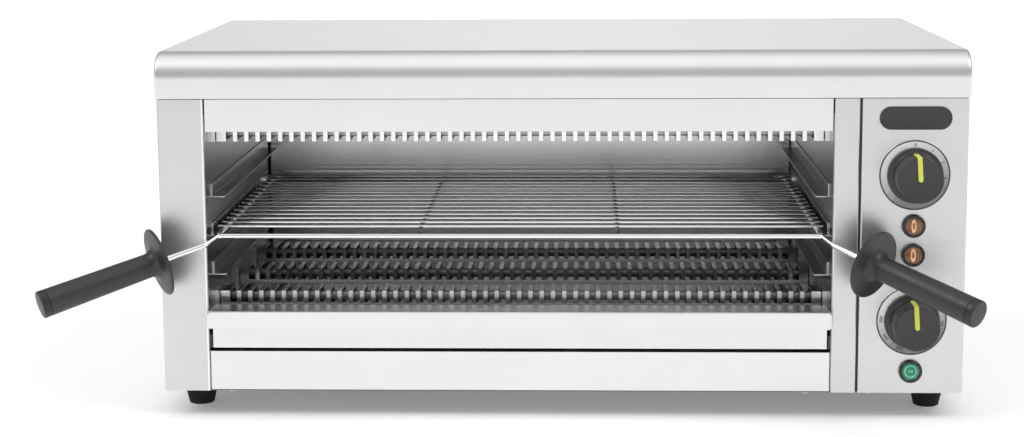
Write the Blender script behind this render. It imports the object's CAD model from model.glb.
"""The looks of the cheese melter: folded brushed steel, a chromed wire grid with moulded grips, slotted
guards over the heating elements, and the control column with its knobs, dials and lamps."""

import math

import bmesh
import bpy
from mathutils import Matrix, Vector


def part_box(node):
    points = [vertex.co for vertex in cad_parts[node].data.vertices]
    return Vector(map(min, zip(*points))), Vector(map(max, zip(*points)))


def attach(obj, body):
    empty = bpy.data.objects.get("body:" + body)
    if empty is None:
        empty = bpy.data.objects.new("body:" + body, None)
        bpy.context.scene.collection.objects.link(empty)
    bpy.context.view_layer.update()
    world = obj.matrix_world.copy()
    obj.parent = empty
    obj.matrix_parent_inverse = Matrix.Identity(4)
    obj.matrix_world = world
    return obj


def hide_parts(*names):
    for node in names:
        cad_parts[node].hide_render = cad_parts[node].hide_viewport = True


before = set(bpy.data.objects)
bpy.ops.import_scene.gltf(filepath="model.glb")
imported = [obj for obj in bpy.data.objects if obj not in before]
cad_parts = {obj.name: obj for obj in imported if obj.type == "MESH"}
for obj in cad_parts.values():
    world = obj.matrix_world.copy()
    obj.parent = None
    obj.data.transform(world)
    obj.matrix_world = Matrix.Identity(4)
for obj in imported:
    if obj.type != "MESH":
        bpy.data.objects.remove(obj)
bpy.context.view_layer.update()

MM = 0.001
# What lies closer together than this is in the same place
TOUCH = 0.02 * MM
UP = Vector((0, 0, 1))
DOWN = Vector((0, 0, -1))
FRONT = Vector((0, -1, 0))
BACK = Vector((0, 1, 0))

# The cover's box gives the cabinet's middle and its front
cover_low, cover_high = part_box("top_cover")
MIDDLE_X = (cover_low.x + cover_high.x) / 2
FRONT_Y = cover_low.y


# ---- Modelling by hand: small helpers over Blender's operators ----


def pick_none():
    """Leaves nothing selected."""
    bpy.ops.object.select_all(action="DESELECT")


def pick(*pieces):
    """Selects these pieces only, and makes the first one active."""
    pick_none()
    for piece in pieces:
        piece.select_set(True)
    bpy.context.view_layer.objects.active = pieces[0]


def open_mesh(piece):
    """Opens a piece's mesh for editing, with nothing in it selected."""
    pick(piece)
    bpy.ops.object.mode_set(mode="EDIT")
    bpy.ops.mesh.select_all(action="DESELECT")


def close_mesh():
    """Ends the editing of the open mesh."""
    bpy.ops.object.mode_set(mode="OBJECT")


def select(piece, kind, wanted):
    """Selects the faces, edges or vertices of the open mesh that pass the test."""
    bpy.ops.mesh.select_mode(type=kind)
    mesh = bmesh.from_edit_mesh(piece.data)
    mesh.normal_update()
    for thing in {"VERT": mesh.verts, "EDGE": mesh.edges, "FACE": mesh.faces}[kind]:
        thing.select_set(bool(wanted(thing)))
    mesh.select_flush_mode()
    bmesh.update_edit_mesh(piece.data)


def along(edge, axis):
    """Whether an edge runs along X, Y or Z, given as 0, 1 or 2."""
    way = (edge.verts[1].co - edge.verts[0].co).normalized()
    return abs(way[axis]) > 0.999


def middle(edge):
    """The middle of an edge."""
    return (edge.verts[0].co + edge.verts[1].co) / 2


def is_top_front(edge, low, high):
    """Whether an edge is the upper front one of the box between two corners, along X."""
    return along(edge, 0) and middle(edge).z > high.z - TOUCH and middle(edge).y < low.y + TOUCH


def is_fold(edge, least):
    """Whether two faces meet at an edge at more than so many degrees."""
    return len(edge.link_faces) == 2 and math.degrees(edge.calc_face_angle(0)) > least


def settle(piece, name):
    """Puts the piece's place into its mesh, so that its object sits at the origin, and names it."""
    pick(piece)
    bpy.ops.object.transform_apply(location=True, rotation=True, scale=True)
    piece.name = piece.data.name = name
    return piece


def smooth(piece, angle=35):
    """Smooth shading, except over edges that are sharper than so many degrees."""
    pick(piece)
    bpy.ops.object.shade_smooth_by_angle(angle=math.radians(angle))
    return piece


def smooth_sheet(piece):
    """Smooth shading in which a large flat face stays flat up to its rounded edges."""
    smooth(piece, 50)
    apply_modifier(piece, "WEIGHTED_NORMAL", keep_sharp=True, weight=100)
    return piece


def add_block(name, low, high):
    """A box between two corners."""
    pick_none()
    bpy.ops.mesh.primitive_cube_add(size=1, location=(Vector(low) + Vector(high)) / 2)
    block = bpy.context.object
    block.scale = Vector(high) - Vector(low)
    return settle(block, name)


def apply_modifier(piece, kind, **settings):
    """Adds a modifier with its settings, and applies it."""
    pick(piece)
    modifier = piece.modifiers.new(kind.title(), kind)
    for key, value in settings.items():
        setattr(modifier, key, value)
    bpy.ops.object.modifier_apply(modifier=modifier.name)


def close_up():
    """Merges what a spin left double and turns every face outwards, in the open mesh."""
    bpy.ops.mesh.select_all(action="SELECT")
    bpy.ops.mesh.remove_doubles(threshold=TOUCH / 10)
    bpy.ops.mesh.normals_make_consistent(inside=False)


def turned(name, profile, foot=(0, 0, 0), way=UP, steps=48):
    """A turned body: the profile's points are radius and height, in millimetres, up from the foot."""
    pick_none()
    bpy.ops.mesh.primitive_plane_add(size=1)
    piece = bpy.context.object
    open_mesh(piece)
    bpy.ops.mesh.select_mode(type="VERT")
    bpy.ops.mesh.select_all(action="SELECT")
    bpy.ops.mesh.merge(type="CENTER")
    last = Vector((0, 0, 0))
    for step, (radius, height) in enumerate(profile):
        point = Vector((radius, 0, height)) * MM
        if step == 0:
            bpy.ops.transform.translate(value=point - last)
        else:
            bpy.ops.mesh.extrude_region_move(TRANSFORM_OT_translate={"value": point - last})
        last = point
    bpy.ops.mesh.select_all(action="SELECT")
    bpy.ops.mesh.spin(steps=steps, angle=2 * math.pi, center=(0, 0, 0), axis=(0, 0, 1))
    close_up()
    close_mesh()
    piece.matrix_world = Matrix.Translation(foot) @ UP.rotation_difference(Vector(way)).to_matrix().to_4x4()
    return smooth(settle(piece, name))


def arc(radius, height, size, first, last, steps=6):
    """Points on a circle's arc in a profile, between two angles in degrees."""
    turns = [math.radians(first + (last - first) * i / steps) for i in range(steps + 1)]
    return [(radius + size * math.cos(a), height + size * math.sin(a)) for a in turns]


# A bend has a ring of points every so many degrees, and a rod's ends are rounded by this share of its radius
BEND_STEP = 8
END_ROUNDING = 0.4


def bent_rod(name, corners, bends, radius, sides):
    """A rod drawn from corner to corner, bent round each inner one at its own radius, with rounded ends."""
    ways = [(b - a).normalized() for a, b in zip(corners, corners[1:])]
    pick_none()
    bpy.ops.mesh.primitive_circle_add(vertices=sides, radius=radius, fill_type="NGON")
    rod = bpy.context.object
    rod.matrix_world = Matrix.Translation(corners[0]) @ UP.rotation_difference(ways[0]).to_matrix().to_4x4()
    settle(rod, name)
    open_mesh(rod)
    bpy.ops.mesh.select_mode(type="FACE")
    bpy.ops.mesh.select_all(action="SELECT")
    here = corners[0]
    for i, way in enumerate(ways):
        goal = corners[i + 1]
        if i + 1 < len(ways):
            turn = way.angle(ways[i + 1])
            goal = goal - way * bends[i] * math.tan(turn / 2)
        bpy.ops.mesh.extrude_region_move(TRANSFORM_OT_translate={"value": goal - here})
        here = goal
        if i + 1 < len(ways):
            axis = way.cross(ways[i + 1]).normalized()
            centre = here + axis.cross(way) * bends[i]
            steps = max(3, round(math.degrees(turn) / BEND_STEP))
            bpy.ops.mesh.spin(steps=steps, angle=-turn, center=centre, axis=axis)
            here = centre + Matrix.Rotation(turn, 3, axis) @ (here - centre)
    close_up()
    ends = (corners[0], corners[-1])
    select(rod, "EDGE", lambda e: any(len(f.verts) == sides for f in e.link_faces)
           and any((middle(e) - end).length < 1.5 * radius for end in ends))
    bpy.ops.mesh.bevel(offset=radius * END_ROUNDING, segments=3, affect="EDGES")
    close_mesh()
    return smooth(rod, 50)


# Faces that meet at less than the first angle, in degrees, are one; over the second, they form an edge
FLAT_ANGLE = 0.5
EDGE_ANGLE = 40


def softened(node, name, edge_r, segments=2, fold_r=0.0):
    """A copy of a CAD piece with its edges rounded a little, and its upright front corners folded."""
    piece = bpy.data.objects.new(name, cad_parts[node].data.copy())
    piece.data.name = name
    bpy.context.scene.collection.objects.link(piece)
    pick(piece)
    bpy.ops.mesh.customdata_custom_splitnormals_clear()
    open_mesh(piece)
    bpy.ops.mesh.select_all(action="SELECT")
    bpy.ops.mesh.remove_doubles(threshold=TOUCH / 5)
    bpy.ops.mesh.dissolve_limited(angle_limit=math.radians(FLAT_ANGLE))
    if fold_r:
        low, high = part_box(node)
        select(piece, "EDGE", lambda e: along(e, 2) and middle(e).y < low.y + TOUCH and is_fold(e, 80)
               and min(middle(e).x - low.x, high.x - middle(e).x) < TOUCH)
        bpy.ops.mesh.bevel(offset=fold_r, segments=4, affect="EDGES")
    close_mesh()
    apply_modifier(piece, "BEVEL", width=edge_r, segments=segments, limit_method="ANGLE",
                   angle_limit=math.radians(EDGE_ANGLE))
    return smooth_sheet(piece)


def fit(piece, body, slot, finish, *nodes):
    """Gives a piece its finish, the body that it moves with and the CAD nodes that it stands for."""
    piece.data.materials.clear()
    piece.data.materials.append(finish)
    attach(piece, body)
    if nodes:
        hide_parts(*nodes)
    return piece


def coat(finish, *nodes):
    """Gives CAD pieces a finish."""
    for node in nodes:
        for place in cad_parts[node].material_slots:
            place.material = finish


def finish_faces(piece, finish, wanted):
    """Gives some of a piece's faces a finish of their own."""
    piece.data.materials.append(finish)
    open_mesh(piece)
    select(piece, "FACE", wanted)
    piece.active_material_index = len(piece.data.materials) - 1
    bpy.ops.object.material_slot_assign()
    close_mesh()


def joined(name, pieces):
    """Makes several pieces into one, with this name."""
    pick(*pieces)
    if len(pieces) > 1:
        bpy.ops.object.join()
    pieces[0].name = pieces[0].data.name = name
    return pieces[0]


# ---- Finishes ----


def new_finish(name, colour, metallic, roughness):
    """A plain material and its main node."""
    finish = bpy.data.materials.new(name)
    finish.use_nodes = True
    body = finish.node_tree.nodes["Principled BSDF"]
    body.inputs["Base Color"].default_value = (*colour, 1)
    body.inputs["Metallic"].default_value = metallic
    body.inputs["Roughness"].default_value = roughness
    return finish, body


def add_node(finish, kind, **inputs):
    """A node, with the values or the sockets that feed its inputs, named with _ for a space."""
    node = finish.node_tree.nodes.new("ShaderNode" + kind)
    for key, value in inputs.items():
        socket = node.inputs[int(key[1:]) if key[0] == "i" and key[1:].isdigit() else key.replace("_", " ")]
        if isinstance(value, bpy.types.NodeSocket):
            finish.node_tree.links.new(value, socket)
        else:
            socket.default_value = value
    return node


def feed(finish, value, body, name):
    """Feeds a value to an input of the main node."""
    finish.node_tree.links.new(value, body.inputs[name])


def grain(finish, size, detail=4):
    """Noise whose specks measure so many millimetres along X, Y and Z, as a value round 0.5."""
    where = add_node(finish, "TexCoord").outputs["Object"]
    scale = [1 / (s * MM) for s in size]
    place = add_node(finish, "Mapping", Vector=where, Scale=scale)
    return add_node(finish, "TexNoise", Vector=place.outputs[0], Scale=1.0, Detail=detail).outputs[0]


def spread(finish, value, low, high, first=0.2, last=0.8):
    """Stretches a noise's middle range over other values."""
    node = add_node(finish, "MapRange", Value=value, From_Min=first, From_Max=last, To_Min=low, To_Max=high)
    return node.outputs[0]


def tint(finish, body, value, dark, light):
    """Colour between two tones."""
    node = add_node(finish, "Mix", Factor=value)
    node.data_type = "RGBA"
    node.inputs[6].default_value = (*dark, 1)
    node.inputs[7].default_value = (*light, 1)
    feed(finish, node.outputs[2], body, "Base Color")


def raise_surface(finish, body, value, depth):
    """Bump of a depth in millimetres."""
    node = add_node(finish, "Bump", Height=value, Distance=depth * MM, Strength=1.0)
    feed(finish, node.outputs[0], body, "Normal")


def grey(tone):
    """A colour without a hue."""
    return (tone, tone, tone)


def brushed_steel(name, tone, rough, line):
    """Stainless sheet with fine brushed lines whose length runs along the longest side of line."""
    depth, patch = 0.0012, 0.012
    finish, body = new_finish(name, grey(tone), 1.0, rough)
    hairs = grain(finish, line, 3)
    streaks = grain(finish, [s * 5 for s in line], 3)
    clouds = grain(finish, (60, 60, 60), 2)
    both = add_node(finish, "Math", i0=hairs, i1=streaks)
    half = add_node(finish, "Math", i0=both.outputs[0], i1=0.5)
    half.operation = "MULTIPLY"
    feed(finish, spread(finish, half.outputs[0], rough - 0.02, rough + 0.03), body, "Roughness")
    mixed = add_node(finish, "Math", i0=half.outputs[0], i1=clouds)
    shade = spread(finish, mixed.outputs[0], 0, 1, 0.8, 1.2)
    tint(finish, body, shade, grey(tone * (1 - patch)), grey(min(1, tone * (1 + patch))))
    raise_surface(finish, body, hairs, depth)
    return finish


def satin_steel(name, tone, rough, depth=0.01, patch=0.08):
    """Plain rolled sheet, a little cloudy from heat and cleaning."""
    finish, body = new_finish(name, grey(tone), 1.0, rough)
    clouds = grain(finish, (40, 40, 40), 2)
    specks = grain(finish, (0.8, 0.8, 0.8), 2)
    feed(finish, spread(finish, clouds, rough - 0.03, rough + 0.05), body, "Roughness")
    shade = spread(finish, clouds, 0, 1)
    tint(finish, body, shade, grey(tone * (1 - patch)), grey(min(1, tone * (1 + patch))))
    raise_surface(finish, body, specks, depth)
    return finish


def chrome(name, tone, rough=0.13):
    """Chromed wire, with a slightly uneven gloss."""
    finish, body = new_finish(name, grey(tone), 1.0, rough)
    clouds = grain(finish, (14, 14, 14), 3)
    feed(finish, spread(finish, clouds, rough - 0.03, rough + 0.06), body, "Roughness")
    tint(finish, body, spread(finish, clouds, 0, 1), grey(tone * 0.94), grey(min(1, tone * 1.04)))
    raise_surface(finish, body, grain(finish, (1.5, 1.5, 1.5), 2), 0.004)
    return finish


def moulded(name, colour, rough, depth=0.02, speck=0.5, patch=0.18, shine=0.5):
    """Moulded plastic or rubber: a fine grain, and a slightly uneven tone and gloss."""
    finish, body = new_finish(name, colour, 0.0, rough)
    body.inputs["Specular IOR Level"].default_value = shine
    clouds = grain(finish, (17, 17, 17), 4)
    specks = grain(finish, (speck, speck, speck), 3)
    feed(finish, spread(finish, clouds, rough - 0.06, rough + 0.08), body, "Roughness")
    dark = [c * (1 - patch) for c in colour]
    light = [min(1, c * (1 + patch)) for c in colour]
    tint(finish, body, spread(finish, clouds, 0, 1), dark, light)
    raise_surface(finish, body, specks, depth)
    return finish


def sunray_metal(name, dark, light, rough, centre):
    """Sheet brushed outwards from the centre, seen from the front: each ray has its own tone."""
    finish, body = new_finish(name, grey(light), 1.0, rough)
    where = add_node(finish, "TexCoord").outputs["Object"]
    place = add_node(finish, "Mapping", Vector=where, Location=(-centre.x, 0, -centre.z), Scale=(1, 0, 1))
    ray = add_node(finish, "VectorMath", i0=place.outputs[0])
    ray.operation = "NORMALIZE"
    # The rays that point up and a little to the left are the brightest
    bright_way = (-0.35, 0, 0.94)
    tilt = add_node(finish, "VectorMath", i0=ray.outputs[0], i1=bright_way)
    tilt.operation = "DOT_PRODUCT"
    broad = spread(finish, tilt.outputs["Value"], 0, 1, -1, 1)
    fine = add_node(finish, "TexNoise", Vector=ray.outputs[0], Scale=26.0, Detail=3.0).outputs[0]
    both = add_node(finish, "Mix", Factor=0.28, A=broad, B=fine).outputs[0]
    feed(finish, spread(finish, fine, rough - 0.05, rough + 0.08), body, "Roughness")
    tint(finish, body, spread(finish, both, 0, 1, 0.25, 0.85), grey(dark), grey(light))
    raise_surface(finish, body, fine, 0.01)
    return finish


def lamp_glass(name, colour, clearness):
    """Clear coloured plastic of a lamp's lens."""
    finish, body = new_finish(name, colour, 0.0, 0.08)
    body.inputs["Transmission Weight"].default_value = clearness
    body.inputs["IOR"].default_value = 1.46
    clouds = grain(finish, (4, 4, 4), 3)
    tint(finish, body, spread(finish, clouds, 0, 1), [c * 0.8 for c in colour], colour)
    feed(finish, spread(finish, clouds, 0.05, 0.12), body, "Roughness")
    return finish


def glowing(name, colour, light, strength):
    """A lamp's lit part: brighter and duller in patches."""
    finish, body = new_finish(name, colour, 0.0, 0.4)
    clouds = grain(finish, (2.4, 2.4, 2.4), 3)
    tint(finish, body, spread(finish, clouds, 0, 1), [c * 0.6 for c in colour], colour)
    body.inputs["Emission Color"].default_value = (*light, 1)
    feed(finish, spread(finish, clouds, strength * 0.5, strength), body, "Emission Strength")
    return finish


# Brushed lines: their size along X, Y and Z, in millimetres
ACROSS = (45, 0.22, 0.22)
UPRIGHT = (0.22, 0.22, 45)

# The metals' roughness stays on one side of 0.27 all over a piece that shows: the renderer's noise filter
# treats smoother and rougher metal differently, and draws a line where one turns into the other

# The metals: how bright and how rough each is, from 0 to 1
cover_steel = brushed_steel("cover_steel", 0.82, 0.3, ACROSS)
front_steel = brushed_steel("front_steel", 0.82, 0.32, ACROSS)
post_steel = brushed_steel("post_steel", 0.7, 0.36, ACROSS)
rail_steel = brushed_steel("rail_steel", 0.83, 0.36, ACROSS)
tray_steel = brushed_steel("tray_steel", 0.79, 0.3, ACROSS)
back_steel = brushed_steel("back_steel", 0.66, 0.3, UPRIGHT)
fold_steel = satin_steel("fold_steel", 0.98, 0.31, patch=0.02)
base_steel = satin_steel("base_steel", 0.25, 0.4)
wall_steel = satin_steel("wall_steel", 0.3, 0.22, 0.004)
ceiling_steel = satin_steel("ceiling_steel", 0.7, 0.31)
back_wall_steel = satin_steel("back_wall_steel", 0.98, 0.22, 0.002, 0.02)
deck_steel = satin_steel("deck_steel", 0.36, 0.17)
runner_steel = satin_steel("runner_steel", 0.56, 0.22)
shelf_steel = satin_steel("shelf_steel", 0.14, 0.31)
top_guard_steel = satin_steel("top_guard_steel", 0.96, 0.34, patch=0.03)
low_guard_steel = satin_steel("low_guard_steel", 0.72, 0.17)
top_sheath = satin_steel("top_element_oxide", 0.5, 0.45, 0.03, 0.2)
low_sheath = satin_steel("low_element_oxide", 0.3, 0.45, 0.03, 0.3)
zinc = satin_steel("bright_zinc", 0.62, 0.31)
shaft_steel = satin_steel("shaft_steel", 0.6, 0.25)
copper = satin_steel("capillary_copper", 0.5, 0.35)
grid_chrome = chrome("grid_chrome", 0.94)
dull_chrome = chrome("dull_chrome", 0.22, 0.31)

# Plastics, paints and rubber: colour, roughness, and the depth and size of the grain in millimetres
bakelite = moulded("grip_bakelite", (0.026, 0.026, 0.027), 0.42, 0.006)
cap_bakelite = moulded("cap_bakelite", (0.014, 0.014, 0.015), 0.42, 0.006)
knob_plastic = moulded("knob_plastic", (0.034, 0.034, 0.035), 0.36, 0.012, 0.4)
pointer_paint = moulded("pointer_paint", (0.66, 0.72, 0.09), 0.5, 0.01, 0.4, 0.06)
plate_paint = moulded("plate_paint", (0.035, 0.035, 0.037), 0.45, 0.008, 0.4)
bezel_plastic = moulded("bezel_plastic", (0.022, 0.020, 0.020), 0.22, 0.006, 0.5)
switch_plastic = moulded("switch_plastic", (0.03, 0.03, 0.032), 0.5)
strip_plastic = moulded("strip_plastic", (0.62, 0.58, 0.48), 0.5)
print_ink = moulded("print_ink", (0.06, 0.06, 0.065), 0.5, 0.004, 0.4)
foot_rubber = moulded("foot_rubber", (0.022, 0.022, 0.023), 0.8, 0.05, 0.7, shine=0.2)
seam_rubber = moulded("seam_rubber", (0.05, 0.05, 0.05), 0.7, 0.01, shine=0.2)
wool = moulded("insulating_wool", (0.62, 0.57, 0.42), 0.95, 1.2, 2.0, 0.2)


# ---- The cabinet's outside ----

SHEET_T = 1 * MM
NOSE_R = 20 * MM
COVER_FOLD_R = 3 * MM
PANEL_FOLD_R = 1.3 * MM
RAIL_CORNER_R = 3 * MM
RAIL_FOLD_R = 1 * MM
# Radii of the cut edges
SKIRT_EDGE_R = 0.48 * MM
PANEL_EDGE_R = 0.35 * MM
LINING_EDGE_R = 0.3 * MM
RUNNER_EDGE_R = 0.25 * MM
GUARD_EDGE_R = 0.22 * MM


def make_top_cover():
    """The cover: a box open below, its front edge rolled over a large radius, its other edges folded."""
    low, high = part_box("top_cover")
    cover = add_block("folded_cover", low, high)
    open_mesh(cover)
    select(cover, "FACE", lambda f: f.normal.z < -0.9)
    bpy.ops.mesh.delete(type="FACE")
    select(cover, "EDGE", lambda e: is_top_front(e, low, high))
    bpy.ops.mesh.bevel(offset=NOSE_R, segments=18, affect="EDGES", clamp_overlap=False)
    select(cover, "EDGE", lambda e: is_fold(e, 60))
    bpy.ops.mesh.bevel(offset=COVER_FOLD_R, segments=6, affect="EDGES", clamp_overlap=False)
    close_mesh()
    apply_modifier(cover, "SOLIDIFY", thickness=SHEET_T, offset=-1)
    open_mesh(cover)
    select(cover, "EDGE", lambda e: is_fold(e, 60) and middle(e).z < low.z + TOUCH)
    bpy.ops.mesh.bevel(offset=SKIRT_EDGE_R, segments=4, affect="EDGES")
    close_mesh()
    fit(smooth_sheet(cover), "cabinet", "steel_cover", cover_steel, "top_cover")


def make_panels():
    """The folded panels, rounded along folds and cut edges. The left post's inner fold is bright."""
    panels = {
        "left_side_panel": ("left_side_and_post", post_steel, "steel_panel"),
        "right_side_panel": ("right_side", post_steel, "steel_panel"),
        "front_header": ("header_panel", front_steel, "steel_panel"),
        "lower_front_panel": ("lower_panel", front_steel, "steel_panel"),
        "centre_post": ("post_by_controls", post_steel, "steel_panel"),
        "control_panel": ("control_front", post_steel, "steel_panel"),
        "rear_panel": ("vented_back", back_steel, "steel_panel"),
        "base_plate": ("underside_plate", base_steel, "steel_base"),
    }
    for node, (name, finish, slot) in panels.items():
        panel = softened(node, name, PANEL_EDGE_R, fold_r=PANEL_FOLD_R)
        fit(panel, "cabinet", slot, finish, node)
        if node == "left_side_panel":
            finish_faces(panel, fold_steel, lambda f: f.normal.x > 0.1 and f.normal.y < -0.1)


def make_seams():
    """Dark strips in the joints under the cover's skirt, under the lower panel and beside the controls."""
    panel_low, panel_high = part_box("lower_front_panel")
    post_high, control_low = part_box("centre_post")[1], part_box("control_panel")[0]
    left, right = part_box("left_side_panel")[0].x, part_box("right_side_panel")[1].x
    skirt_z = cover_low.z
    inset, cover_lap, skirt_gap = 2 * MM, 3 * MM, 0.5 * MM
    panel_back, panel_t, panel_gap = 0.3 * MM, 0.9 * MM, 0.6 * MM
    control_back, control_t = 0.7 * MM, 0.6 * MM
    under_skirt = add_block("seam", (left + inset, FRONT_Y + SHEET_T, skirt_z - skirt_gap),
                            (right - inset, panel_low.y + TOUCH, skirt_z + cover_lap))
    panel_y = panel_low.y + panel_back
    under_panel = add_block("seam", (panel_low.x, panel_y, panel_low.z - panel_gap),
                            (panel_high.x, panel_y + panel_t, panel_low.z + TOUCH))
    control_y = control_low.y + control_back
    by_controls = add_block("seam", (post_high.x, control_y, control_low.z + inset),
                            (control_low.x, control_y + control_t, skirt_z))
    strips = [under_skirt, under_panel, by_controls]
    fit(joined("seam_strips", strips), "cabinet", "foot_rubber", seam_rubber)


def make_front_rail():
    """The rail across the front: rounded corners, a folded edge round its face, and a bright upper face."""
    low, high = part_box("front_rail")
    rail = add_block("folded_front_rail", low, high)
    open_mesh(rail)
    select(rail, "EDGE", lambda e: along(e, 1))
    bpy.ops.mesh.bevel(offset=RAIL_CORNER_R, segments=7, affect="EDGES")
    select(rail, "EDGE", lambda e: is_fold(e, 60) and middle(e).y < low.y + TOUCH)
    bpy.ops.mesh.bevel(offset=RAIL_FOLD_R, segments=4, affect="EDGES")
    close_mesh()
    fit(smooth_sheet(rail), "cabinet", "steel_rail", rail_steel, "front_rail")
    finish_faces(rail, fold_steel, lambda f: f.normal.z > 0.9)


def make_crumb_tray():
    """The tray: its pan and its folded front."""
    tray = softened("crumb_tray", "drip_and_crumb_tray", PANEL_EDGE_R)
    fit(tray, "tray", "steel_tray", tray_steel, "crumb_tray")


def make_feet():
    """Rubber feet: tapered, with a rounded lower edge and a recess for a zinc-plated screw."""
    for node in ("front_left_foot", "front_right_foot", "rear_left_foot", "rear_right_foot"):
        low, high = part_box(node)
        foot = Vector(((low.x + high.x) / 2, (low.y + high.y) / 2, low.z))
        top_r, height = (high.x - low.x) / 2 / MM, (high.z - low.z) / MM
        ground_r, edge_r, recess_r, recess_d = 10, 1.6, 6.5, 9
        floor_r, lip, top_edge = 0.8, 0.6, 0.5
        profile = [(0, recess_d), (recess_r - floor_r, recess_d), (recess_r, recess_d - floor_r),
                   (recess_r, lip), (recess_r + lip, 0)]
        profile += arc(ground_r - edge_r, edge_r, edge_r, -90, 8)
        profile += [(top_r - top_edge, height - 2 * top_edge), (top_r - top_edge, height - 0.2),
                    (top_r - 2 * top_edge, height), (0, height)]
        fit(turned("rubber_" + node, profile, foot), "cabinet", "foot_rubber", foot_rubber, node)
    coat(zinc, "foot_screws")


# Pan-head screws: the head's radius and height and the shank's radius and length, in millimetres
HEAD_R, HEAD_H = 3.5, 2.0
SCREW_R, SCREW_L = 1.95, 6.0


def cross_recess(screw, top, reach, width, depth):
    """Sinks a cross into a screw's head from above, with two bars that are cut out of it."""
    bars = []
    for turn in (0, math.pi / 2):
        pick_none()
        bpy.ops.mesh.primitive_cube_add(size=1, location=top)
        bar = bpy.context.object
        bar.scale = (reach * 2, width, depth * 2)
        bar.rotation_euler.z = turn
        bars.append(settle(bar, "cross_bar"))
    for bar in bars:
        apply_modifier(screw, "BOOLEAN", object=bar, operation="DIFFERENCE", solver="EXACT")
    for bar in bars:
        bpy.data.objects.remove(bar)


def screw_heads(name, node, way):
    """Pan-head screws with a cross recess: one is modelled, then copied to where each of the node's is."""
    tip, dome_r = 0.4, 1.4
    profile = [(0, -SCREW_L), (SCREW_R - tip, -SCREW_L), (SCREW_R, tip - SCREW_L), (SCREW_R, 0),
               (HEAD_R - 0.2, 0), (HEAD_R, 0.3)]
    profile += arc(HEAD_R - dome_r, HEAD_H - dome_r, dome_r, 0, 90, 5) + [(0, HEAD_H)]
    first = turned(name, profile, steps=28)
    cross_recess(first, (0, 0, HEAD_H * MM), reach=1.9 * MM, width=0.7 * MM, depth=1.1 * MM)
    smooth(first, 30)
    pieces = []
    for foot in screw_places(node, way):
        piece = first.copy()
        piece.data = first.data.copy()
        bpy.context.scene.collection.objects.link(piece)
        piece.matrix_world = Matrix.Translation(foot) @ UP.rotation_difference(way).to_matrix().to_4x4()
        pieces.append(settle(piece, name))
    bpy.data.objects.remove(first)
    fit(joined(name, pieces), "cabinet", "zinc_fixing", zinc, node)


def screw_places(node, way):
    """The seats of a node's screws: the middle of each loose part's head, on the side of its thread."""
    copy = bpy.data.objects.new("places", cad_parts[node].data.copy())
    bpy.context.scene.collection.objects.link(copy)
    open_mesh(copy)
    bpy.ops.mesh.select_all(action="SELECT")
    bpy.ops.mesh.remove_doubles(threshold=TOUCH / 5)
    bpy.ops.mesh.separate(type="LOOSE")
    close_mesh()
    places = []
    for part in list(bpy.context.selected_objects):
        corners = [v.co for v in part.data.vertices]
        low = Vector([min(c[i] for c in corners) for i in range(3)])
        high = Vector([max(c[i] for c in corners) for i in range(3)])
        centre = (low + high) / 2
        reach = max(c.dot(way) for c in corners) - centre.dot(way)
        places.append(centre + way * (reach - HEAD_H * MM))
        bpy.data.objects.remove(part)
    return sorted(places, key=lambda p: tuple(round(c, 4) for c in p))


# ---- Inside the cavity ----


def make_cavity():
    """The cavity's linings and the runners, whose upper faces are dulled by the grid and the tray."""
    walls = {
        "cavity_left_wall": ("left_lining", wall_steel),
        "cavity_right_wall": ("right_lining", wall_steel),
        "cavity_back_wall": ("back_lining", back_wall_steel),
        "cavity_deck": ("slotted_deck", deck_steel),
        "cavity_ceiling": ("ceiling_lining", ceiling_steel),
    }
    for node, (name, finish) in walls.items():
        fit(softened(node, name, LINING_EDGE_R), "cabinet", "steel_cavity", finish, node)
    for side in ("left", "right"):
        runners = softened(side + "_runners", side + "_grid_runners", RUNNER_EDGE_R)
        fit(runners, "cabinet", "steel_runner", runner_steel, side + "_runners")
        finish_faces(runners, shelf_steel, lambda f: f.normal.z > 0.9)
    coat(shelf_steel, "tray_runners")


def make_guards():
    """The slotted guards, their end tabs, and the heating elements with their bushes."""
    for place in ("front", "middle", "rear"):
        for level, finish in (("top", top_guard_steel), ("bottom", low_guard_steel)):
            node = f"{level}_guard_{place}"
            guard = softened(node, f"slotted_{level}_guard_{place}", GUARD_EDGE_R, 1)
            fit(guard, "cabinet", "steel_guard", finish, node)
    coat(top_guard_steel, "guard_end_tabs")
    coat(top_sheath, "top_elements")
    coat(low_sheath, "bottom_elements")
    coat(zinc, "element_bushes")


# ---- The grid and its handles ----

FRAME_R = 2 * MM
WIRE_R = 1.25 * MM
STIFF_R = 1.65 * MM
WIRE_PITCH = 18 * MM
FIRST_WIRE = 23.4 * MM
WIRE_ENDS = 4.2 * MM
WELD_GAP = 0.05 * MM
SHANK_L = 37 * MM
ROD_IN_GRIP = 55 * MM
# Radii of the frame's bends: at a handle, between handle and front bar, and at the rear corners
HANDLE_BEND_R = 9 * MM
FRONT_BEND_R = 5 * MM
REAR_BEND_R = 12 * MM
LEFT_SPLAY, RIGHT_SPLAY, DIP = (math.radians(a) for a in (30, 44, 14.4))

wires_low, wires_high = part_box("grid_wires")
SIDE_BARS = (wires_low.x + WIRE_ENDS, wires_high.x - WIRE_ENDS)
FRAME_Z = wires_high.z - 2 * WIRE_R - FRAME_R - WELD_GAP
FRONT_BAR_Y = FRONT_Y + 10.6 * MM
REAR_BAR_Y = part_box("grid_frame")[1].y - FRAME_R
BEND_OUT = Vector((7.7, -10.6, -5)) * MM


def handle_way(side):
    """The direction of a handle, out to the left (-1) or to the right (1), forwards and down."""
    splay = LEFT_SPLAY if side < 0 else RIGHT_SPLAY
    flat = math.cos(DIP)
    return Vector((side * math.cos(splay) * flat, -math.sin(splay) * flat, -math.sin(DIP)))


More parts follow.
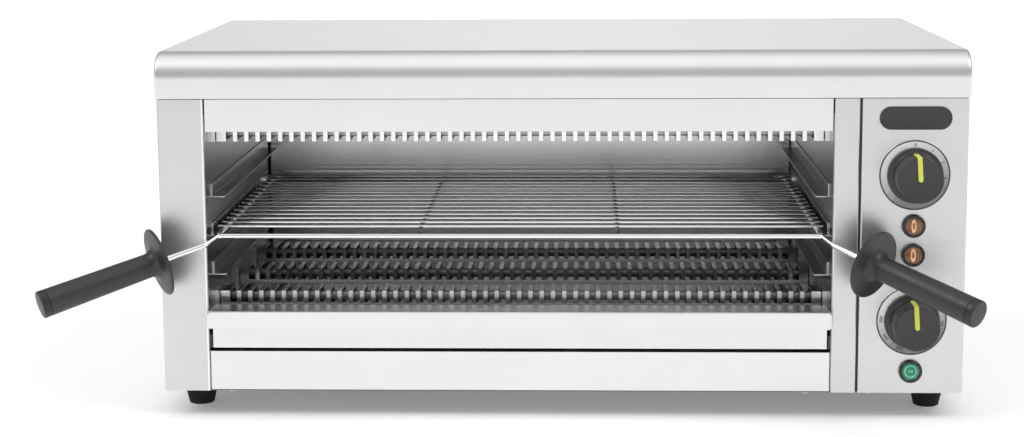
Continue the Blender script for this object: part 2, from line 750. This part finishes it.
def handle_foot(side):
    """Where a handle's rod bends, in front of the posts."""
    bar_x = SIDE_BARS[0] if side < 0 else SIDE_BARS[1]
    return Vector((bar_x + side * BEND_OUT.x, FRONT_BAR_Y + BEND_OUT.y, FRAME_Z + BEND_OUT.z))


def make_grid():
    """The grid: its frame, its cross wires, and two stiffening wires under them."""
    left, right = handle_foot(-1), handle_foot(1)
    inside_grip = SHANK_L + ROD_IN_GRIP
    front_corners = [left + handle_way(-1) * inside_grip, left]
    front_corners += [Vector((x, FRONT_BAR_Y, FRAME_Z)) for x in SIDE_BARS]
    front_corners += [right, right + handle_way(1) * inside_grip]
    bends = (HANDLE_BEND_R, FRONT_BEND_R, FRONT_BEND_R, HANDLE_BEND_R)
    front = bent_rod("front_bar", front_corners, bends, FRAME_R, 18)
    start_y = FRONT_BAR_Y + FRAME_R
    places = ((SIDE_BARS[0], start_y), (SIDE_BARS[0], REAR_BAR_Y), (SIDE_BARS[1], REAR_BAR_Y),
              (SIDE_BARS[1], start_y))
    around_corners = [Vector((x, y, FRAME_Z)) for x, y in places]
    around = bent_rod("side_and_rear_bar", around_corners, (REAR_BEND_R, REAR_BEND_R), FRAME_R, 18)
    fit(joined("bent_grid_frame", [front, around]), "grid", "grid_chrome", grid_chrome, "grid_frame")
    wire_z = wires_high.z - WIRE_R
    wires = []
    y = FRONT_BAR_Y + FIRST_WIRE
    while y < REAR_BAR_Y - FRAME_R - WIRE_R:
        ends = [Vector((x, y, wire_z)) for x in (wires_low.x, wires_high.x)]
        wires.append(bent_rod("cross_wire", ends, (), WIRE_R, 12))
        y += WIRE_PITCH
    fit(joined("welded_grid_wires", wires), "grid", "grid_chrome", grid_chrome, "grid_wires")
    stiff_z = wire_z - WIRE_R - STIFF_R
    wires = []
    for third in (1, 2):
        x = SIDE_BARS[0] + third * (SIDE_BARS[1] - SIDE_BARS[0]) / 3
        ends = [Vector((x, y, stiff_z)) for y in (start_y, REAR_BAR_Y - FRAME_R)]
        wires.append(bent_rod("stiffening_wire", ends, (), STIFF_R, 12))
    fit(joined("stiffening_wires", wires), "grid", "grid_chrome", dull_chrome)


# A grip, its hand guard and its cap, in millimetres
HAND_GUARD_R, HAND_GUARD_T = 26, 2.6
GRIP_L, CAP_L = 94.85, 6
GRIP_NEAR_R, GRIP_END_R = 9, 10.35
FILLET_R = 7
CAP_EDGE_R = 1.2
CAP_GROOVE = 0.4


def grip_r(z):
    """A grip's radius so far from its foot: it widens towards its end."""
    return GRIP_NEAR_R + (GRIP_END_R - GRIP_NEAR_R) * z / GRIP_L


def grip_profile():
    """Half of a grip's outline: the hand guard, a fillet, and the long body up to its cap."""
    fillet_z = HAND_GUARD_T + 1 + FILLET_R
    rim_r = HAND_GUARD_T / 2
    profile = [(0, 0), (HAND_GUARD_R - 1.2, 0)] + arc(HAND_GUARD_R - rim_r, rim_r, rim_r, -80, 80, 6)
    # The guard's face rises a little from its rim to the fillet
    profile += [(HAND_GUARD_R - 3, HAND_GUARD_T + 0.2),
                (grip_r(fillet_z) + FILLET_R + 1.5, HAND_GUARD_T + 0.9)]
    profile += [(grip_r(fillet_z) + FILLET_R * (1 - math.sin(a)), fillet_z - FILLET_R * math.cos(a))
                for a in (math.radians(10 * i) for i in range(1, 10))]
    body_l = GRIP_L - CAP_L
    wide_r = grip_r(body_l) - 0.05
    return profile + [(wide_r, body_l - CAP_GROOVE), (wide_r - CAP_GROOVE, body_l), (0, body_l)]


def cap_profile():
    """Half of a cap's outline: it starts with the groove that parts it from the grip."""
    start = GRIP_L - CAP_L
    wide_r = grip_r(start) - 0.05
    profile = [(0, start), (wide_r - CAP_GROOVE, start), (wide_r, start + CAP_GROOVE)]
    return profile + arc(GRIP_END_R - CAP_EDGE_R, GRIP_L - CAP_EDGE_R, CAP_EDGE_R, 10, 90, 5) + [(0, GRIP_L)]


def make_grips():
    """Each grip is one moulding with its hand guard; a cap closes its end."""
    feet = {side: handle_foot(side) + handle_way(side) * SHANK_L for side in (-1, 1)}
    for side, word in ((-1, "left"), (1, "right")):
        grip = turned(word + "_moulded_grip", grip_profile(), feet[side], handle_way(side), 64)
        fit(grip, "grid", "grip_plastic", bakelite, word + "_grip")
    caps = [turned("grip_cap", cap_profile(), feet[side], handle_way(side), 64) for side in (-1, 1)]
    fit(joined("grip_closing_caps", caps), "grid", "grip_plastic", cap_bakelite, "grip_end_caps")


# ---- The control column ----

# Dials and their scales, in millimetres
DIAL_R, DIAL_T, DIAL_BORE_R = 26.5, 1.2, 6
RIM_W, RIM_T, RIM_EDGE = 1.2, 0.55, 0.1
SCALE_R, NUMBER_SIZE, TICK_SIZE = 22.7, 3.6, 1.8
PRINT_T = 0.04
TICK = "I"
# Knobs: the height, and the radii of the skirt and the cap, in millimetres
KNOB_H, SKIRT_R, SKIRT_T, CAP_R = 27, 20.75, 4, 17
POINTER_W, POINTER_T, POINTER_BEND_R = 3.4, 0.4, 2.2
POINTER_TILT = math.radians(-4)


def back_middle(node):
    """The middle of the back of a piece's box."""
    low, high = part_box(node)
    return Vector(((low.x + high.x) / 2, high.y, (low.z + high.z) / 2))


def make_nameplate():
    """A bare pill-shaped plate with a raised rim."""
    rim_w, recess = 0.8 * MM, 0.25 * MM
    low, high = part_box("nameplate")
    plate = add_block("bare_nameplate", low, high)
    open_mesh(plate)
    select(plate, "EDGE", lambda e: along(e, 1))
    bpy.ops.mesh.bevel(offset=(high.z - low.z) / 2 - TOUCH, segments=14, affect="EDGES")
    bpy.ops.mesh.select_all(action="SELECT")
    bpy.ops.mesh.remove_doubles(threshold=4 * TOUCH)
    select(plate, "FACE", lambda f: f.normal.y < -0.9)
    bpy.ops.mesh.inset(thickness=rim_w)
    bpy.ops.transform.translate(value=BACK * recess)
    close_mesh()
    fit(smooth(plate), "cabinet", "plate_black", plate_paint, "nameplate")


def make_dial(word, marks):
    """A dial: a turned plate with a dark line printed round its rim, and its scale of plain numbers."""
    node = word + "_dial"
    middle_back = back_middle(node)
    line_out, line_in = DIAL_R - RIM_EDGE, DIAL_R - RIM_W
    profile = [(DIAL_BORE_R, 0), (DIAL_R, 0), (DIAL_R, RIM_T - RIM_EDGE), (line_out, RIM_T),
               (line_in, RIM_T), (SKIRT_R - 0.5, DIAL_T), (DIAL_BORE_R, DIAL_T), (DIAL_BORE_R, 0)]
    dial = turned(word + "_dial_plate", profile, middle_back, FRONT, 96)
    metal = sunray_metal(word + "_dial_metal", 0.2, 0.85, 0.33, middle_back)
    fit(dial, "cabinet", "dial_silver", metal, node)
    rim = middle_back + FRONT * RIM_T * MM
    line = [(line_in, 0), (line_out, 0), (line_out, PRINT_T), (line_in, PRINT_T), (line_in, 0)]
    prints = [turned("rim_line", line, rim, FRONT, 96)]
    face = middle_back + FRONT * DIAL_T * MM
    for text, angle in marks:
        prints.append(numeral(text, face, angle))
    fit(joined(word + "_dial_print", prints), "cabinet", "dial_silver", print_ink)


def numeral(text, face, angle):
    """A plain number or a tick on a dial, at a clock angle in degrees and turned to face outwards."""
    pick_none()
    bpy.ops.object.text_add()
    letters = bpy.context.object
    letters.data.body = text
    letters.data.size = (TICK_SIZE if text == TICK else NUMBER_SIZE) * MM
    letters.data.align_x = "CENTER"
    letters.data.align_y = "CENTER"
    letters.data.extrude = PRINT_T * MM / 2
    letters.data.resolution_u = 3
    bpy.ops.object.convert(target="MESH")
    turn = math.radians(angle)
    out = Vector((math.sin(turn), 0, math.cos(turn)))
    stand = Matrix.Rotation(turn, 4, "Y") @ Matrix.Rotation(math.pi / 2, 4, "X")
    letters.matrix_world = Matrix.Translation(face + out * SCALE_R * MM + FRONT * PRINT_T * MM) @ stand
    return settle(letters, "dial_number")


def knob_profile():
    """Half of a knob's outline: a thin skirt, a hollow flank and a flat cap with rounded edges."""
    foot_edge, edge_r, flank_r, dish = 0.5, 1, 2, 0.15
    profile = [(0, 0), (SKIRT_R - foot_edge, 0), (SKIRT_R, foot_edge), (SKIRT_R, SKIRT_T - 1.2)]
    profile += arc(SKIRT_R - edge_r, SKIRT_T - 1.1, edge_r, 10, 80, 4)
    profile += [(CAP_R + flank_r - flank_r * math.sin(a), SKIRT_T + flank_r - flank_r * math.cos(a))
                for a in (math.radians(15 * i) for i in range(1, 7))]
    profile += arc(CAP_R - edge_r, KNOB_H - edge_r, edge_r, 0, 90, 5)
    return profile + [(CAP_R - 1.8, KNOB_H - dish), (0, KNOB_H - dish)]


def make_knob(word):
    """A knob and its pointer line, which runs over the face's edge and down the side."""
    back = back_middle(word + "_knob")
    knob = turned(word + "_moulded_knob", knob_profile(), back, FRONT, 72)
    fit(knob, word, "knob_plastic", knob_plastic, word + "_knob")
    fit(pointer_line(word + "_pointer_line", back), word, "pointer_yellow", pointer_paint, word + "_pointer")


def pointer_line(name, back):
    """A strip laid over the knob: a flat block whose corner is rounded, with a round inner end."""
    half_w = POINTER_W / 2 * MM
    low = Vector((back.x - half_w, back.y - (KNOB_H + POINTER_T) * MM, back.z - 1 * MM))
    high = Vector((back.x + half_w, back.y - (SKIRT_T + 4) * MM, back.z + (CAP_R + POINTER_T) * MM))
    strip = add_block(name, low, high)
    open_mesh(strip)
    select(strip, "FACE", lambda f: f.normal.y > 0.9 or f.normal.z < -0.9 or abs(f.normal.x) > 0.9)
    bpy.ops.mesh.delete(type="FACE")
    select(strip, "EDGE", lambda e: is_top_front(e, low, high))
    bpy.ops.mesh.bevel(offset=POINTER_BEND_R * MM, segments=8, affect="EDGES")
    select(strip, "VERT", lambda v: v.co.z < low.z + TOUCH or v.co.y > high.y - TOUCH)
    bpy.ops.mesh.bevel(offset=half_w * 0.96, segments=6, affect="VERTICES")
    close_mesh()
    apply_modifier(strip, "SOLIDIFY", thickness=POINTER_T * MM * 1.5, offset=-1)
    tilt = Matrix.Rotation(POINTER_TILT, 4, "Y")
    strip.matrix_world = Matrix.Translation(back) @ tilt @ Matrix.Translation(-back)
    return smooth(settle(strip, name))


def lamp_centres():
    """The middles of the three lamps' backs, from the lenses' boxes."""
    low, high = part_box("amber_lenses")
    lens_r = (high.x - low.x) / 2
    x = (low.x + high.x) / 2
    amber = [Vector((x, high.y, z)) for z in (high.z - lens_r, low.z + lens_r)]
    return amber, [back_middle("green_lens")]


def loop_wire(name, centre, width, height, radius):
    """A closed wire loop that faces the front: a torus, stretched to its height."""
    pick_none()
    bpy.ops.mesh.primitive_torus_add(major_radius=width / 2 * MM, minor_radius=radius * MM,
                                     major_segments=28, minor_segments=8,
                                     rotation=(math.pi / 2, 0, 0), location=centre)
    loop = bpy.context.object
    bpy.ops.object.transform_apply(location=False, rotation=True, scale=False)
    loop.scale.z = height / width
    return smooth(settle(loop, name))


# A lamp's bezel and lens, in millimetres
BEZEL_R, BEZEL_T, BEZEL_EDGE_R = 8.85, 3, 1.1
LENS_R, LENS_OUT = 6.5, 1.5


def make_bezels(places):
    """The dark ring round each lamp, rounded outside and inside."""
    bore_r, lip_r = LENS_R + 0.05, 0.7
    profile = [(bore_r, 0), (BEZEL_R, 0)]
    profile += arc(BEZEL_R - BEZEL_EDGE_R, BEZEL_T - BEZEL_EDGE_R, BEZEL_EDGE_R, 0, 90, 5)
    profile += arc(bore_r + lip_r, BEZEL_T - lip_r, lip_r, 90, 180, 4) + [(bore_r, 0)]
    bezels = [turned("bezel", profile, place, FRONT, 56) for place in places]
    fit(joined("lamp_bezel_rings", bezels), "cabinet", "bezel_black", bezel_plastic, "lamp_bezels")


def lens_profile():
    """Half of a lens's outline: a flat back and a low dome."""
    dome_r = (LENS_R ** 2 + LENS_OUT ** 2) / (2 * LENS_OUT)
    half = math.degrees(math.asin(LENS_R / dome_r))
    dome = arc(0, BEZEL_T + LENS_OUT - dome_r, dome_r, 90 - half, 90, 8)
    return [(0, BEZEL_T - 1), (LENS_R - 0.2, BEZEL_T - 1), (LENS_R - 0.01, BEZEL_T - 0.8)] + dome


def lit_wires(word, place):
    """What glows in a lamp: an upright loop in an amber one, a ring with a short bar in the green one."""
    centre = place + FRONT * 1.45 * MM
    if word == "amber":
        return [loop_wire("electrode", centre, width=2.6, height=7.4, radius=0.42)]
    return [loop_wire("ring", centre, width=8.2, height=8.2, radius=0.36),
            loop_wire("short_bar", centre, width=2.6, height=0.9, radius=0.32)]


def make_lamps():
    """Each lamp: a dark bezel, a clear coloured lens, and the lit element seen through it."""
    amber, green = lamp_centres()
    make_bezels(amber + green)
    wide_r = LENS_R - 0.1
    base = [(0, 0.05), (wide_r, 0.05), (wide_r, 0.5), (wide_r / 2, 0.9), (0, 1.0)]
    amber_glass = lamp_glass("amber_glass", (0.9, 0.66, 0.44), 0.92)
    green_glass = lamp_glass("green_glass", (0.35, 0.85, 0.66), 0.9)
    amber_base = glowing("amber_reflector", (0.42, 0.2, 0.08), (1.0, 0.42, 0.12), 0.04)
    green_base = glowing("green_reflector", (0.08, 0.36, 0.26), (0.2, 0.8, 0.6), 0.08)
    hot = glowing("amber_electrode", (1.0, 0.85, 0.75), (1.0, 0.88, 0.8), 1.0)
    mint = glowing("green_ring", (0.7, 1.0, 0.85), (0.65, 1.0, 0.85), 1.0)
    sets = (("amber", amber, amber_glass, amber_base, "amber_lenses", hot),
            ("green", green, green_glass, green_base, "green_lens", mint))
    for word, places, glass, base_finish, node, lit in sets:
        slot = "lens_" + word
        lenses = [turned("lens", lens_profile(), place, FRONT, 48) for place in places]
        fit(joined(word + "_lamp_lens", lenses), "cabinet", slot, glass, node)
        bases = [turned("reflector", base, place, FRONT, 40) for place in places]
        fit(joined(word + "_lamp_reflector", bases), "cabinet", slot, base_finish)
        wires = [wire for place in places for wire in lit_wires(word, place)]
        fit(joined(word + "_lamp_element", wires), "cabinet", slot, lit)


def make_inner_parts():
    """The parts behind the controls, the cable gland at the back, and the insulation."""
    coat(switch_plastic, "selector_switch", "thermostat_body", "lamp_bodies", "cable_gland")
    coat(strip_plastic, "terminal_strip")
    coat(shaft_steel, "selector_shaft", "thermostat_shaft")
    coat(copper, "thermostat_bulb")
    coat(wool, "insulation")


# ---- The studio ----


def add_floor():
    """A plain pale table that runs on past the view. It glows softly, so that it stays white far away."""
    pick_none()
    bpy.ops.mesh.primitive_plane_add(size=60, location=(0, 0, -0.02 * MM))
    floor = bpy.context.object
    floor.name = "studio_floor"
    finish, body = new_finish("floor_white", grey(0.94), 0.0, 0.7)
    body.inputs["Emission Strength"].default_value = 0.19
    tint(finish, body, spread(finish, grain(finish, (900, 900, 900), 2), 0, 1), grey(0.93), grey(0.95))
    floor.data.materials.append(finish)


def add_light(name, place, target, size, power):
    """A rectangular light that faces its target."""
    pick_none()
    bpy.ops.object.light_add(type="AREA", location=place)
    light = bpy.context.object
    light.name = name
    light.data.shape = "RECTANGLE"
    light.data.size, light.data.size_y = size
    light.data.energy = power
    way = Vector(target) - Vector(place)
    light.rotation_euler = way.to_track_quat("-Z", "Y").to_euler()


def add_sun(name, way, spread_angle, power):
    """A wide soft light from far away, that reaches all of the table alike."""
    pick_none()
    bpy.ops.object.light_add(type="SUN", location=way * 3)
    light = bpy.context.object
    light.name = name
    light.data.angle = math.radians(spread_angle)
    light.data.energy = power
    light.rotation_euler = (-way).to_track_quat("-Z", "Y").to_euler()


# The studio's brightness at the sine of a height above the horizon: pale walls, a duller band and a bright
# ceiling, tilted a little to the front
SKY = ((0.0, 1.15), (0.08, 1.15), (0.22, 0.5), (0.64, 0.5), (0.85, 0.88), (1.0, 0.88))
SKY_TILT = math.radians(8)
SKY_POWER = 2.0
# Towards both sides it is dimmer: by this share, between these two shares of the way to the side
SIDE_SHARE = 0.8
SIDE_START, SIDE_END = 0.05, 0.3


def add_sky():
    """The studio round the object: a ramp of brightness by height, dimmed to the sides."""
    world = bpy.data.worlds.new("studio")
    bpy.context.scene.world = world
    world.use_nodes = True
    nodes, links = world.node_tree.nodes, world.node_tree.links
    way = nodes.new("ShaderNodeTexCoord")
    parts = nodes.new("ShaderNodeSeparateXYZ")
    height = nodes.new("ShaderNodeVectorMath")
    height.operation = "DOT_PRODUCT"
    height.inputs[1].default_value = (0, -math.sin(SKY_TILT), math.cos(SKY_TILT))
    ramp = nodes.new("ShaderNodeValToRGB")
    links.new(way.outputs["Generated"], parts.inputs[0])
    links.new(way.outputs["Generated"], height.inputs[0])
    links.new(height.outputs["Value"], ramp.inputs[0])
    links.new(ramp.outputs[0], nodes["Background"].inputs["Color"])
    side = nodes.new("ShaderNodeMath")
    side.operation = "ABSOLUTE"
    share = nodes.new("ShaderNodeMapRange")
    for name, value in (("From Min", SIDE_START), ("From Max", SIDE_END), ("To Min", SKY_POWER),
                        ("To Max", SKY_POWER * SIDE_SHARE)):
        share.inputs[name].default_value = value
    links.new(parts.outputs["X"], side.inputs[0])
    links.new(side.outputs[0], share.inputs[0])
    links.new(share.outputs[0], nodes["Background"].inputs["Strength"])
    stops = ramp.color_ramp.elements
    stops.remove(stops[1])
    for place, tone in SKY:
        stops.new(place).color = (*grey(tone / SKY_POWER), 1)
    stops.remove(stops[0])


def add_studio():
    """The sky, a large light overhead, and a soft sun on each side."""
    add_sky()
    add_light("ceiling_box", (-0.3, -0.8, 3.0), target=(0, 0, 0.2), size=(3, 3), power=6)
    for side in (-1, 1):
        add_sun("side_sun", Vector((side * 0.62, -0.25, 0.74)), spread_angle=30, power=0.9)
    bpy.context.scene.view_settings.view_transform = "Standard"


# The camera: its turn, tilt and roll in degrees, its place from the middle of the cabinet's foot at the
# front in millimetres, its lens and sensor in millimetres, and its lens shift as a share of the width
CAMERA_TURNS = (2.114, 8.256, -0.35)
CAMERA_PLACE = (18.1, -1465.6, 414.2)
LENS_L, SENSOR_W, LENS_SHIFT = 69.62, 36, -0.06


def add_camera():
    """The view from the front and a little above, with a small shift that keeps the posts nearly upright."""
    yaw, pitch, roll = (math.radians(a) for a in CAMERA_TURNS)
    ahead = Vector((-math.sin(yaw) * math.cos(pitch), math.cos(yaw) * math.cos(pitch), -math.sin(pitch)))
    level = Vector((math.cos(yaw), math.sin(yaw), 0))
    above = level.cross(ahead)
    right = level * math.cos(roll) + above * math.sin(roll)
    top = above * math.cos(roll) - level * math.sin(roll)
    bpy.ops.object.camera_add()
    camera = bpy.context.object
    place = Vector((MIDDLE_X, FRONT_Y, 0)) + Vector(CAMERA_PLACE) * MM
    camera.matrix_world = Matrix.Translation(place) @ Matrix((right, top, -ahead)).transposed().to_4x4()
    camera.data.sensor_width = SENSOR_W
    camera.data.lens = LENS_L
    camera.data.shift_y = LENS_SHIFT
    bpy.context.scene.camera = camera


# ---- All together ----

# What the dials show, and at which clock angles in degrees; every second mark of a scale is a tick
SELECTOR_MARKS = (("0", 0), ("1", 35), ("2", 65), ("3", 95))
THERMOSTAT_MARKS = [(TICK if i % 2 else str(50 + 25 * i), 95 + 17.7 * i) for i in range(11)]

add_camera()
add_studio()
add_floor()
make_top_cover()
make_panels()
make_seams()
make_front_rail()
make_crumb_tray()
make_feet()
make_cavity()
make_guards()
make_grid()
make_grips()
make_nameplate()
make_dial("selector", SELECTOR_MARKS)
make_dial("thermostat", THERMOSTAT_MARKS)
make_knob("selector")
make_knob("thermostat")
make_lamps()
make_inner_parts()
screw_heads("rear_pan_screws", "rear_screws", BACK)
screw_heads("base_pan_screws", "base_screws", DOWN)
